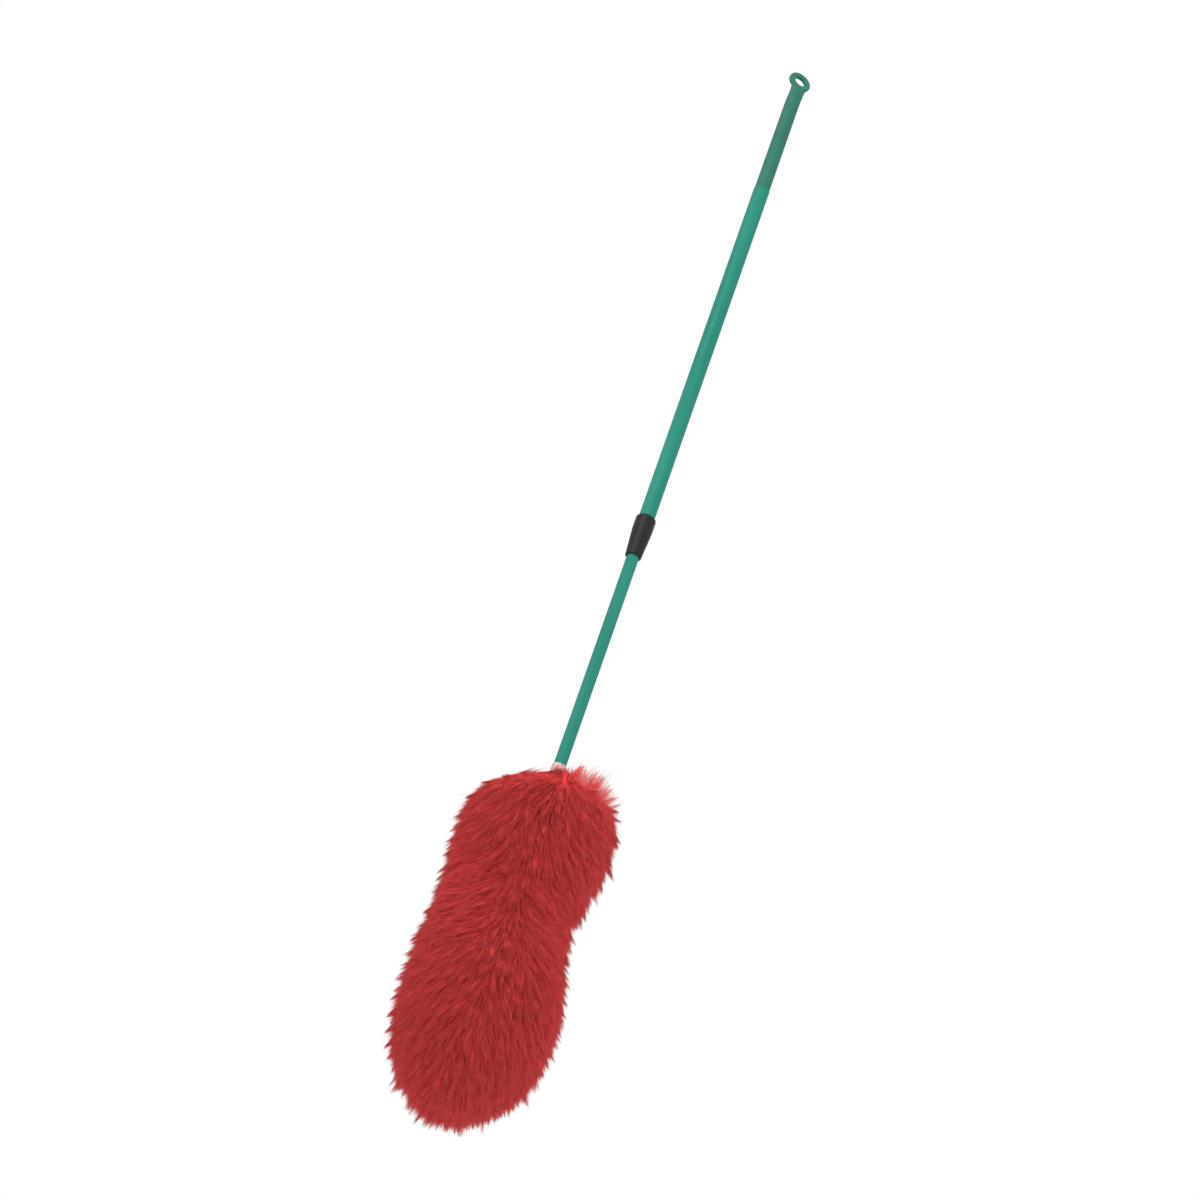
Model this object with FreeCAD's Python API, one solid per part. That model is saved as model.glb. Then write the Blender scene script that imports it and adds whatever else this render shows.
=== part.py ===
"""Extending wool duster: a two-stage twist-lock pole with a hang cap and a fleece head.

The part hangs straight down. The origin is the centre of the hang hole, and the pole runs
down -Z. The eye leans back towards +Y, so its hole runs along Y but dips at the back by
the same angle. All lengths are millimetres.
"""

import FreeCAD, Part
import math
import os

from FreeCAD import Vector

# ---- driving dimensions: pole ------------------------------------------------
SKIN = 0.3  # plastic coat on both tubes
OUTER_TUBE_R = 7.95
INNER_TUBE_R = 6.1
TUBE_WALL = 0.5
RUNNING_GAP = 0.07  # radial clearance of the sliding and turning fits
EDGE = 0.4  # broken edges of the moulded pieces
OVERCUT = 1.0  # how far a bore or slot is cut past the piece

OUTER_BORE_R = OUTER_TUBE_R - TUBE_WALL
OUTER_SKIN_R = OUTER_TUBE_R + SKIN
INNER_BORE_R = INNER_TUBE_R - TUBE_WALL
INNER_SKIN_R = INNER_TUBE_R + SKIN

# ---- driving dimensions: hang cap --------------------------------------------
EYE_R = 12.2
EYE_HOLE_R = 6.0
EYE_THICKNESS = 4.4
EYE_ROUND = 1.5  # round on the eye's outer rims
EYE_LEAN = 20.0  # degrees that the eye leans back from the pole
HOLE_CHAMFER = 0.8  # on the rims of the hole
SHANK_TOP_R = 7.6
SHANK_FOOT_R = 7.85
SHANK_TOP_Z = -34.0
CAP_FOOT_Z = -139.6
CAP_SPIGOT = 40.0
CAP_LEAD = 3.0  # length of the spigot's tapered lead-in
CAP_LEAD_IN = 1.0  # how far that lead-in tapers
CAP_CORE_R = 5.2  # the moulding is cored out from its lower end
CAP_CORE_TOP_Z = -36.0

# Where the shank flattens into the leaning eye: height, place in Y, half width, half depth.
NECK_SECTIONS = [
    (SHANK_TOP_Z, 0.0, SHANK_TOP_R, SHANK_TOP_R),
    (-27.0, -0.2, 7.6, 7.3),
    (-20.0, -1.0, 7.6, 6.2),
    (-14.0, -2.0, 7.8, 4.6),
    (-8.0, -2.4, 8.5, 2.9),
]

# ---- driving dimensions: collar ----------------------------------------------
COLLAR_TOP_Z = -553.9
COLLAR_FOOT_Z = -602.0
COLLAR_R = 10.5
COLLAR_FOOT_R = 8.35
COLLAR_SHOULDER = 2.8
COLLAR_PLAIN = 13.0  # length at full radius below the shoulder
TUBE_SEAT_Z = -578.5  # where the outer tube's end stands in the collar
COLLAR_SPIGOT_TOP_Z = -555.0

# ---- driving dimensions: twist lock ------------------------------------------
INNER_TOP_Z = -479.5
PLUG_LENGTH = 30.0
PLUG_LEAD = 2.0  # length of the plug's tapered lead-in
PLUG_LEAD_IN = 1.0  # how far that lead-in tapers
PLUG_FLANGE = 3.0
PLUG_SCREW_R = 3.0  # over the moulded thread, which is left plain
EXPANDER_LENGTH = 30.0
EXPANDER_WEB = 8.0  # closed ring below the slots
EXPANDER_MOUTH_R = 6.2
EXPANDER_TAPER = 0.1  # radius gained per millimetre of height
SLOT_WIDTH = 1.6
SLOT_COUNT = 4
NUT_LENGTH = 15.0
NUT_RISE = 2.4  # how far the locked nut stands out of the expander
KEY_WIDTH = 1.4
KEY_R = 7.1
KEY_HEIGHT = 9.0
KEY_COUNT = 2
KEY_BELOW_MOUTH = 1.0
SCREW_TOP_Z = -438.0
STOP_HEAD_R = 4.4
STOP_HEAD = 2.6
STOP_HEAD_RIM = 1.0  # height of the head's upright rim
STOP_CROWN = [(3.1, 2.3), (1.8, 2.6)]  # the crown above it: radius, height over the seat
STOP_SHANK_R = 1.3
STOP_HOLE = 12.0
STOP_SHANK = 11.0
STOP_POINT = 1.5
DRIVE_WIDTH = 0.9  # cross recess in the head
DRIVE_REACH = 2.4
DRIVE_DEPTH = 1.4

# ---- driving dimensions: head ------------------------------------------------
NECK_Z = -859.0  # where the pole enters the fleece
TUBE_INSERT = 60.0  # length of inner tube inside the head
SOCKET_R = 10.0
SOCKET_TOP = 18.0  # below the neck
SOCKET_LIP = 1.4  # wall of the socket at its tapered mouth
SOCKET_FLOOR = 5.0
CORE_R = 12.0
CORE_TOP = 26.0  # below the neck
CORE_LENGTH = 360.0
TIP_PLUG_DEPTH = 22.0
TIP_PLUG_FLANGE = 3.0
TIP_PLUG_EDGE = 1.0
HIDE = 2.0
HIDE_SHOULDER = 1.0  # how far below the core's top the hide comes to its full radius
NECK_HIDE = 0.6  # the hide is skived thin where it is tied to the pole
NECK_TIE = 7.0  # length of hide that lies on the pole
BINDING_HEIGHT = 8.0
BINDING_ABOVE_HIDE = 1.0
BINDING_THICKNESS = 0.7
RIVET_R = 1.6
RIVET_BELOW_NECK = 42.0
TIP_SCREW_R = 1.75
TIP_SCREW_HOLE = 18.0
TIP_SCREW_LENGTH = 17.0
TIP_SCREW_POINT = 3.0
TIP_HEAD = [(3.6, 0.0), (3.2, 1.6), (1.6, 2.4)]  # head: radius, height over the seat
TIP_WASHER_R = 8.0
TIP_WASHER = 1.2

CORE_TOP_Z = NECK_Z - CORE_TOP
CORE_FOOT_Z = CORE_TOP_Z - CORE_LENGTH
TIP_FACE_Z = CORE_FOOT_Z - TIP_PLUG_FLANGE
HIDE_R = CORE_R + HIDE

# Fleece sections: depth below the neck, sideways lean of the centre, radius.
FLEECE_SECTIONS = [
    (12.0, 9.0, 19.0),
    (22.0, 15.0, 33.0),
    (36.0, 14.0, 54.0),
    (52.0, 8.0, 71.0),
    (72.0, 3.0, 80.0),
    (100.0, 1.0, 81.0),
    (135.0, -1.0, 77.0),
    (170.0, -4.0, 72.0),
    (225.0, -1.0, 78.0),
    (275.0, 4.0, 84.0),
    (320.0, 6.0, 83.0),
    (355.0, 6.0, 75.0),
    (385.0, 5.0, 58.0),
    (408.0, 4.0, 35.0),
    (421.0, 4.0, 14.0),
]
FLEECE_POCKET_END = 6.0  # wool between the tip screw's head and the fleece's own hollow

UP = Vector(0, 0, 1)


def rod(radius, top_z, foot_z):
    """Upright round bar between two heights."""
    return Part.makeCylinder(radius, top_z - foot_z, Vector(0, 0, foot_z))


def tube(outer_r, inner_r, top_z, foot_z):
    """Upright round tube between two heights."""
    return rod(outer_r, top_z, foot_z).cut(rod(inner_r, top_z + OVERCUT, foot_z - OVERCUT))


def turned(profile):
    """Solid of revolution about Z from a list of (radius, height) corners."""
    corners = [Vector(r, 0, z) for r, z in profile]
    face = Part.Face(Part.makePolygon(corners + corners[:1]))
    return face.revolve(Vector(0, 0, 0), UP, 360)


# ---- handle ------------------------------------------------------------------
def leant(shape):
    """Turn an upright piece of the eye back to its lean."""
    shape.rotate(Vector(0, 0, 0), Vector(1, 0, 0), -EYE_LEAN)
    return shape


def eye_disc():
    """Flat round eye with rounded rims."""
    back = Vector(0, -EYE_THICKNESS / 2, 0)
    disc = Part.makeCylinder(EYE_R, EYE_THICKNESS, back, Vector(0, 1, 0))
    rims = [edge for edge in disc.Edges if edge.isClosed()]
    return leant(disc.makeFillet(EYE_ROUND, rims))


def eye_hole():
    """Hole through the eye, flared by a small chamfer at each rim."""
    flare = 2 * HOLE_CHAMFER
    reach = EYE_THICKNESS / 2 + flare
    cutters = [Part.makeCylinder(EYE_HOLE_R, 2 * reach, Vector(0, -reach, 0), Vector(0, 1, 0))]
    for side in (-1, 1):
        start = Vector(0, side * (reach - flare - HOLE_CHAMFER), 0)
        cutters.append(
            Part.makeCone(EYE_HOLE_R, EYE_HOLE_R + flare, flare, start, Vector(0, side, 0))
        )
    return leant(cutters[0].multiFuse(cutters[1:]))


def flattened_neck():
    """Shank top that flattens from round into the thickness of the eye."""
    wires = []
    for height, place_y, half_width, half_depth in NECK_SECTIONS:
        centre = Vector(0, place_y, height)
        if half_width > half_depth:
            curve = Part.Ellipse(centre, half_width, half_depth)
        else:
            curve = Part.Circle(centre, UP, half_width)
        wires.append(Part.Wire(curve.toShape()))
    return Part.makeLoft(wires, True)


def make_hang_cap():
    """Moulded cap: eye, long shank that carries on the pole, and a spigot in the outer tube."""
    shank = Part.makeCone(
        SHANK_FOOT_R, SHANK_TOP_R, SHANK_TOP_Z - CAP_FOOT_Z, Vector(0, 0, CAP_FOOT_Z)
    )
    spigot_foot_z = CAP_FOOT_Z - CAP_SPIGOT
    spigot = turned(
        [
            (0, CAP_FOOT_Z),
            (OUTER_BORE_R, CAP_FOOT_Z),
            (OUTER_BORE_R, spigot_foot_z + CAP_LEAD),
            (OUTER_BORE_R - CAP_LEAD_IN, spigot_foot_z),
            (0, spigot_foot_z),
        ]
    )
    core_top_z = CAP_CORE_TOP_Z - CAP_CORE_R
    core = rod(CAP_CORE_R, core_top_z, spigot_foot_z - OVERCUT)
    core = core.fuse(Part.makeSphere(CAP_CORE_R, Vector(0, 0, core_top_z)))
    body = shank.multiFuse([spigot, flattened_neck(), eye_disc()])
    return body.cut(core).cut(eye_hole()).removeSplitter()


def make_outer_tube():
    """Thin steel tube that is the upper half of the pole."""
    return tube(OUTER_TUBE_R, OUTER_BORE_R, CAP_FOOT_Z, TUBE_SEAT_Z)


def make_outer_tube_skin():
    """Coloured plastic coat shrunk on the outer tube."""
    return tube(OUTER_SKIN_R, OUTER_TUBE_R, CAP_FOOT_Z, TUBE_SEAT_Z)


def make_lock_collar():
    """Tapered end collar: skirt outside the tube, guide spigot inside it."""
    slide_r = INNER_SKIN_R + RUNNING_GAP
    shoulder_z = COLLAR_TOP_Z - COLLAR_SHOULDER
    shoulder_r = COLLAR_R - COLLAR_SHOULDER
    rise = math.sqrt(COLLAR_SHOULDER**2 - (OUTER_SKIN_R - shoulder_r) ** 2)
    half = COLLAR_SHOULDER * math.sqrt(0.5)
    shoulder = Part.Arc(
        Vector(OUTER_SKIN_R, 0, shoulder_z + rise),
        Vector(shoulder_r + half, 0, shoulder_z + half),
        Vector(COLLAR_R, 0, shoulder_z),
    )
    corners = [
        (COLLAR_R, shoulder_z),
        (COLLAR_R, shoulder_z - COLLAR_PLAIN),
        (COLLAR_FOOT_R, COLLAR_FOOT_Z + EDGE),
        (COLLAR_FOOT_R - EDGE, COLLAR_FOOT_Z),
        (slide_r + EDGE, COLLAR_FOOT_Z),
        (slide_r, COLLAR_FOOT_Z + EDGE),
        (slide_r, COLLAR_SPIGOT_TOP_Z),
        (OUTER_BORE_R, COLLAR_SPIGOT_TOP_Z),
        (OUTER_BORE_R, TUBE_SEAT_Z),
        (OUTER_SKIN_R, TUBE_SEAT_Z),
        (OUTER_SKIN_R, shoulder_z + rise),
    ]
    points = [Vector(r, 0, z) for r, z in corners]
    outline = [shoulder.toShape()]
    for first, second in zip(points, points[1:]):
        outline.append(Part.LineSegment(first, second).toShape())
    face = Part.Face(Part.Wire(outline))
    return face.revolve(Vector(0, 0, 0), UP, 360)


# ---- twist lock --------------------------------------------------------------
FLANGE_TOP_Z = INNER_TOP_Z + PLUG_FLANGE
EXPANDER_FOOT_Z = FLANGE_TOP_Z + RUNNING_GAP
EXPANDER_TOP_Z = EXPANDER_FOOT_Z + EXPANDER_LENGTH
SLIDE_R = OUTER_BORE_R - RUNNING_GAP
TURN_R = PLUG_SCREW_R + RUNNING_GAP


def slot_blades(width, reach, top_z, foot_z, count):
    """Flat radial blades at even angles about the axis."""
    blades = []
    for index in range(count):
        blade = Part.makeBox(reach, width, top_z - foot_z, Vector(0, -width / 2, foot_z))
        blade.rotate(Vector(0, 0, 0), UP, 360.0 * index / count)
        blades.append(blade)
    return blades


def make_expander_sleeve():
    """Slit nylon sleeve that the nut spreads against the outer tube; it slides but does not turn."""
    web_z = EXPANDER_FOOT_Z + EXPANDER_WEB
    throat_r = EXPANDER_MOUTH_R - EXPANDER_TAPER * (EXPANDER_TOP_Z - web_z)
    body = turned(
        [
            (TURN_R, EXPANDER_FOOT_Z),
            (SLIDE_R - EDGE, EXPANDER_FOOT_Z),
            (SLIDE_R, EXPANDER_FOOT_Z + EDGE),
            (SLIDE_R, EXPANDER_TOP_Z - EDGE),
            (SLIDE_R - EDGE, EXPANDER_TOP_Z),
            (EXPANDER_MOUTH_R, EXPANDER_TOP_Z),
            (throat_r, web_z),
            (TURN_R, web_z),
        ]
    )
    reach = SLIDE_R + OVERCUT
    for blade in slot_blades(SLOT_WIDTH, reach, EXPANDER_TOP_Z + OVERCUT, web_z, SLOT_COUNT):
        body = body.cut(blade)
    return body


def make_cone_nut():
    """Cone nut on the plug's screw, kept from turning by its keys in the sleeve's slots."""
    top_z = EXPANDER_TOP_Z + NUT_RISE
    foot_z = top_z - NUT_LENGTH
    mouth_r = EXPANDER_MOUTH_R - RUNNING_GAP
    foot_r = mouth_r - EXPANDER_TAPER * (EXPANDER_TOP_Z - foot_z)
    cone = turned(
        [
            (TURN_R, foot_z),
            (foot_r - EDGE, foot_z),
            (foot_r, foot_z + EDGE),
            (mouth_r, EXPANDER_TOP_Z),
            (mouth_r, top_z - EDGE),
            (mouth_r - EDGE, top_z),
            (TURN_R, top_z),
        ]
    )
    key_top_z = EXPANDER_TOP_Z - KEY_BELOW_MOUTH
    keys = slot_blades(KEY_WIDTH, KEY_R, key_top_z, key_top_z - KEY_HEIGHT, KEY_COUNT)
    bore = rod(TURN_R, top_z + OVERCUT, foot_z - OVERCUT)
    return cone.multiFuse(keys).cut(bore).removeSplitter()


def make_lock_plug():
    """Moulded plug in the inner tube's upper end, with the lock's screw on top."""
    foot_z = INNER_TOP_Z - PLUG_LENGTH
    body = turned(
        [
            (0, foot_z),
            (INNER_BORE_R - PLUG_LEAD_IN, foot_z),
            (INNER_BORE_R, foot_z + PLUG_LEAD),
            (INNER_BORE_R, INNER_TOP_Z),
            (SLIDE_R - EDGE, INNER_TOP_Z),
            (SLIDE_R, INNER_TOP_Z + EDGE),
            (SLIDE_R, FLANGE_TOP_Z - EDGE),
            (SLIDE_R - EDGE, FLANGE_TOP_Z),
            (PLUG_SCREW_R, FLANGE_TOP_Z),
            (PLUG_SCREW_R, SCREW_TOP_Z - EDGE),
            (PLUG_SCREW_R - EDGE, SCREW_TOP_Z),
            (0, SCREW_TOP_Z),
        ]
    )
    return body.cut(rod(STOP_SHANK_R, SCREW_TOP_Z + OVERCUT, SCREW_TOP_Z - STOP_HOLE))


def make_stop_screw():
    """Self-tapping screw whose head keeps the cone nut on the plug."""
    point_z = SCREW_TOP_Z - STOP_SHANK
    crown = [(radius, SCREW_TOP_Z + height) for radius, height in STOP_CROWN]
    body = turned(
        [
            (0, point_z),
            (STOP_SHANK_R, point_z + STOP_POINT),
            (STOP_SHANK_R, SCREW_TOP_Z),
            (STOP_HEAD_R, SCREW_TOP_Z),
            (STOP_HEAD_R, SCREW_TOP_Z + STOP_HEAD_RIM),
            *crown,
            (0, SCREW_TOP_Z + STOP_HEAD),
        ]
    )
    head_z = SCREW_TOP_Z + STOP_HEAD
    for blade in slot_blades(DRIVE_WIDTH, DRIVE_REACH, head_z + OVERCUT, head_z - DRIVE_DEPTH, 4):
        body = body.cut(blade)
    return body


# ---- inner pole --------------------------------------------------------------
TUBE_FOOT_Z = NECK_Z - TUBE_INSERT


def make_inner_tube():
    """Thin steel tube that slides in the outer one and carries the head."""
    body = tube(INNER_TUBE_R, INNER_BORE_R, INNER_TOP_Z, TUBE_FOOT_Z)
    return body.cut(rivet_hole())


def make_inner_tube_skin():
    """Coloured plastic coat shrunk on the inner tube."""
    body = tube(INNER_SKIN_R, INNER_TUBE_R, INNER_TOP_Z, TUBE_FOOT_Z)
    return body.cut(rivet_hole())


# ---- head --------------------------------------------------------------------
def rivet_hole():
    """Cross hole of the rivet that joins the inner tube to the head's socket."""
    reach = SOCKET_R + OVERCUT
    start = Vector(-reach, 0, NECK_Z - RIVET_BELOW_NECK)
    return Part.makeCylinder(RIVET_R, 2 * reach, start, Vector(1, 0, 0))


def make_core_socket():
    """Socket in the top of the core, with a blind bore for the inner tube."""
    top_z = NECK_Z - SOCKET_TOP
    foot_z = TUBE_FOOT_Z - SOCKET_FLOOR
    body = turned(
        [
            (0, TUBE_FOOT_Z),
            (INNER_SKIN_R, TUBE_FOOT_Z),
            (INNER_SKIN_R, top_z),
            (INNER_SKIN_R + SOCKET_LIP, top_z),
            (SOCKET_R, CORE_TOP_Z),
            (SOCKET_R, foot_z),
            (0, foot_z),
        ]
    )
    return body.cut(rivet_hole())


def make_socket_rivet():
    """Tubular rivet through the socket and the inner tube, flush with the socket."""
    return rivet_hole().common(rod(SOCKET_R, NECK_Z, TUBE_FOOT_Z))


def make_core_tube():
    """Stiff plastic tube that carries the fleece."""
    return tube(CORE_R, SOCKET_R, CORE_TOP_Z, CORE_FOOT_Z)


def make_tip_plug():
    """Plug that closes the core's lower end and takes the tip screw."""
    top_z = CORE_FOOT_Z + TIP_PLUG_DEPTH
    body = turned(
        [
            (0, top_z),
            (SOCKET_R - TIP_PLUG_EDGE, top_z),
            (SOCKET_R, top_z - TIP_PLUG_EDGE),
            (SOCKET_R, CORE_FOOT_Z),
            (CORE_R, CORE_FOOT_Z),
            (CORE_R, TIP_FACE_Z),
            (0, TIP_FACE_Z),
        ]
    )
    return body.cut(rod(TIP_SCREW_R, TIP_FACE_Z + TIP_SCREW_HOLE, TIP_FACE_Z - OVERCUT))


def make_hide_sleeve():
    """Tanned hide round the core, gathered in at the top on to the pole."""
    throat_z = NECK_Z - NECK_TIE
    return turned(
        [
            (INNER_SKIN_R, NECK_Z),
            (INNER_SKIN_R + NECK_HIDE, NECK_Z),
            (INNER_SKIN_R + NECK_HIDE, throat_z),
            (HIDE_R, CORE_TOP_Z - HIDE_SHOULDER),
            (HIDE_R, TIP_FACE_Z),
            (CORE_R, TIP_FACE_Z),
            (CORE_R, CORE_TOP_Z),
            (INNER_SKIN_R, throat_z - HIDE),
        ]
    )


def make_neck_binding():
    """Cotton whipping that ties the gathered hide to the pole."""
    inner_r = INNER_SKIN_R + NECK_HIDE
    top_z = NECK_Z + BINDING_ABOVE_HIDE
    return tube(inner_r + BINDING_THICKNESS, inner_r, top_z, top_z - BINDING_HEIGHT)


def make_tip_disc():
    """Round of hide that closes the sleeve over the tip plug."""
    return tube(HIDE_R, TIP_SCREW_R, TIP_FACE_Z, TIP_FACE_Z - HIDE)


def make_tip_washer():
    """Steel washer that clamps the tip disc."""
    top_z = TIP_FACE_Z - HIDE
    return tube(TIP_WASHER_R, TIP_SCREW_R, top_z, top_z - TIP_WASHER)


def make_tip_screw():
    """Wood screw through washer and disc into the tip plug."""
    seat_z = TIP_FACE_Z - HIDE - TIP_WASHER
    point_z = TIP_FACE_Z + TIP_SCREW_LENGTH
    head = [(radius, seat_z - height) for radius, height in TIP_HEAD]
    return turned(
        [
            (0, point_z),
            (TIP_SCREW_R, point_z - TIP_SCREW_POINT),
            (TIP_SCREW_R, seat_z),
            *head,
            (0, head[-1][1]),
        ]
    )


def make_wool_pile():
    """Fleece as one closed soft body, hollow only where the hide and core are."""
    wires = []
    for depth, lean, radius in FLEECE_SECTIONS:
        circle = Part.Circle(Vector(lean, 0, NECK_Z - depth), UP, radius)
        wires.append(Part.Wire(circle.toShape()))
    body = Part.makeLoft(wires, True)
    pocket_end_z = TIP_FACE_Z - HIDE - TIP_WASHER - FLEECE_POCKET_END
    return body.cut(rod(HIDE_R, NECK_Z, pocket_end_z))


NODES = {
    "hang_cap": make_hang_cap,
    "outer_tube": make_outer_tube,
    "outer_tube_skin": make_outer_tube_skin,
    "lock_collar": make_lock_collar,
    "expander_sleeve": make_expander_sleeve,
    "cone_nut": make_cone_nut,
    "lock_plug": make_lock_plug,
    "stop_screw": make_stop_screw,
    "inner_tube": make_inner_tube,
    "inner_tube_skin": make_inner_tube_skin,
    "core_socket": make_core_socket,
    "socket_rivet": make_socket_rivet,
    "core_tube": make_core_tube,
    "tip_plug": make_tip_plug,
    "hide_sleeve": make_hide_sleeve,
    "neck_binding": make_neck_binding,
    "tip_disc": make_tip_disc,
    "tip_washer": make_tip_washer,
    "tip_screw": make_tip_screw,
    "wool_pile": make_wool_pile,
}

os.makedirs("parts", exist_ok=True)
for name, make in NODES.items():
    shape = make()
    shape.exportStep("parts/" + name + ".step")
    box = shape.BoundBox
    print(
        f"{name:16s} valid {shape.isValid()} solids {len(shape.Solids)} "
        f"volume {shape.Volume / 1000:9.3f} cm3  z {box.ZMin:9.2f} to {box.ZMax:9.2f}"
    )
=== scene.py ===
"""Looks of the extending wool duster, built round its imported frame.

The frame gives every size and place. This script adds the fleece, the neck whipping and
the finish of each piece, then the studio that they are seen in.
"""

import logging
import math
from dataclasses import dataclass, field
from enum import Enum
from typing import Any

import bmesh
import bpy
import numpy as np
from mathutils import Matrix, Vector, noise
from mathutils.kdtree import KDTree


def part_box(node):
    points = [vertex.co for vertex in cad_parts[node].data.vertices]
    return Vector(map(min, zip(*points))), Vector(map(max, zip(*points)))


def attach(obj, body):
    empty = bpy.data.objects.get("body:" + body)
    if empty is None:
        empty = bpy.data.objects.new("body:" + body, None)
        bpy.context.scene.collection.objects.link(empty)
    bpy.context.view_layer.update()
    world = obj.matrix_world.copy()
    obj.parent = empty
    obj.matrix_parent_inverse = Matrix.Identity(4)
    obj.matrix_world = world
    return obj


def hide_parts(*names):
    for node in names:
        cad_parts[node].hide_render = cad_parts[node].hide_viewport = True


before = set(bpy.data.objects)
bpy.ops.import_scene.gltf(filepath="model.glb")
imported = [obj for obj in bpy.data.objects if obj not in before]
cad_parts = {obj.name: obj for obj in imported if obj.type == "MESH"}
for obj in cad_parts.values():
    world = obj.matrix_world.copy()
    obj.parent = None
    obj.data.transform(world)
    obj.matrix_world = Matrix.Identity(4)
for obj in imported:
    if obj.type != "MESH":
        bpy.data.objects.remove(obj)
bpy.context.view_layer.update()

LOG = logging.getLogger("duster")
MM = 0.001
DOWN = np.array([0.0, 0.0, -1.0])
ASKEW = np.array([0.31, 0.87, 0.38])  # hardly any strand runs this way
DIAGONAL_WAVE = math.tau / (10 * math.sqrt(3))  # a diagonal wave's repeat at scale 1
TINY = 1e-6
NOISE_LOW, NOISE_HIGH = 0.3, 0.7  # nearly all of a noise pattern lies between these
HEAD_BODY = "inner_pole"  # the body that the head moves with


class Grain(Enum):
    """Which way a surface's fine pattern is drawn out."""

    EVEN = (1.0, 1.0, 1.0)
    ALONG_POLE = (1.0, 1.0, 0.04)
    ROUND_POLE = (0.15, 0.15, 1.0)


# ---- colour and nodes ----------------------------------------------------------------


def linear(colour: str) -> tuple[float, float, float, float]:
    """Turn an sRGB hex colour into linear values.

    Args:
        colour: six hex digits, such as "3C9484".

    Returns:
        Linear red, green and blue, and an alpha of one.
    """
    channels = [int(colour[i : i + 2], 16) / 255 for i in (0, 2, 4)]
    r, g, b = [c / 12.92 if c <= 0.04045 else ((c + 0.055) / 1.055) ** 2.4 for c in channels]
    return (r, g, b, 1.0)


def per_metre(size_mm: float) -> float:
    """Return the texture scale that gives a pattern this many millimetres across."""
    return 1.0 / (size_mm * MM)


def add_node(
    material: bpy.types.Material,
    kind: str,
    settings: dict[str, Any] | None = None,
    inputs: dict[str | int, Any] | None = None,
) -> bpy.types.Node:
    """Add one node with its settings, values and links.

    Args:
        material: material whose tree takes the node.
        kind: Blender's name for the node type.
        settings: properties of the node itself.
        inputs: socket name or number to a value, or to the output that feeds it.

    Returns:
        The new node.
    """
    node = material.node_tree.nodes.new(kind)
    for name, value in (settings or {}).items():
        setattr(node, name, value)
    for name, value in (inputs or {}).items():
        if isinstance(value, bpy.types.NodeSocket):
            material.node_tree.links.new(value, node.inputs[name])
        else:
            node.inputs[name].default_value = value
    return node


def start_material(
    name: str, values: dict[str, Any]
) -> tuple[bpy.types.Material, bpy.types.Node]:
    """Begin a material with its Principled shader.

    Args:
        name: the finish's name.
        values: uniform values, set on the shader's own sockets.

    Returns:
        The material and its shader node.
    """
    material = bpy.data.materials.new(name)
    material.use_nodes = True
    shader = material.node_tree.nodes["Principled BSDF"]
    for socket, value in values.items():
        shader.inputs[socket].default_value = value
    return material, shader


def feed(
    material: bpy.types.Material, shader: bpy.types.Node, **outputs: bpy.types.NodeSocket
) -> None:
    """Link outputs into the shader, with underscores for spaces in the socket names."""
    for name, output in outputs.items():
        material.node_tree.links.new(output, shader.inputs[name.replace("_", " ")])


def ramp_stops(node: bpy.types.Node, stops: list[tuple[float, str]]) -> None:
    """Set a colour ramp's stops.

    Args:
        node: the colour ramp.
        stops: position and sRGB hex colour of each stop, in order.
    """
    elements = node.color_ramp.elements
    while len(elements) < len(stops):
        elements.new(0.5)
    for element, (position, colour) in zip(elements, stops, strict=True):
        element.position = position
        element.color = linear(colour)


# ---- finishes ------------------------------------------------------------------------


@dataclass(frozen=True)
class PlasticFinish:
    """Moulded or drawn plastic with a mottled colour and a fine surface texture."""

    name: str
    colour: str
    shade: str
    roughness: float
    mottle_mm: float
    texture_mm: float
    texture_depth_mm: float
    grain: Grain = Grain.EVEN
    ior: float = 1.5
    specular: float = 0.4
    duller: float = 0.06
    glossier: float = 0.04

    def material(self) -> bpy.types.Material:
        """Build the material.

        Returns:
            A material whose colour, gloss and bump come from noise on Object coordinates.
        """
        values = {"IOR": self.ior, "Specular IOR Level": self.specular}
        material, shader = start_material(self.name, values)
        place = add_node(material, "ShaderNodeTexCoord").outputs["Object"]
        drawn = add_node(
            material, "ShaderNodeMapping", inputs={"Vector": place, "Scale": self.grain.value}
        ).outputs["Vector"]
        mottle = add_node(
            material,
            "ShaderNodeTexNoise",
            inputs={"Vector": drawn, "Scale": per_metre(self.mottle_mm), "Detail": 4.0},
        ).outputs["Fac"]
        colour = add_node(material, "ShaderNodeValToRGB", inputs={"Fac": mottle})
        ramp_stops(colour, [(NOISE_LOW, self.shade), (NOISE_HIGH, self.colour)])
        gloss = add_node(
            material,
            "ShaderNodeMapRange",
            inputs={
                "Value": mottle,
                "From Min": NOISE_LOW,
                "From Max": NOISE_HIGH,
                "To Min": self.roughness + self.duller,
                "To Max": self.roughness - self.glossier,
            },
        ).outputs["Result"]
        fine = add_node(
            material,
            "ShaderNodeTexNoise",
            inputs={"Vector": drawn, "Scale": per_metre(self.texture_mm), "Detail": 3.0},
        ).outputs["Fac"]
        bump = add_node(
            material,
            "ShaderNodeBump",
            inputs={"Height": fine, "Distance": self.texture_depth_mm * MM, "Strength": 0.6},
        ).outputs["Normal"]
        feed(material, shader, Base_Color=colour.outputs["Color"], Roughness=gloss, Normal=bump)
        return material


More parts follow.
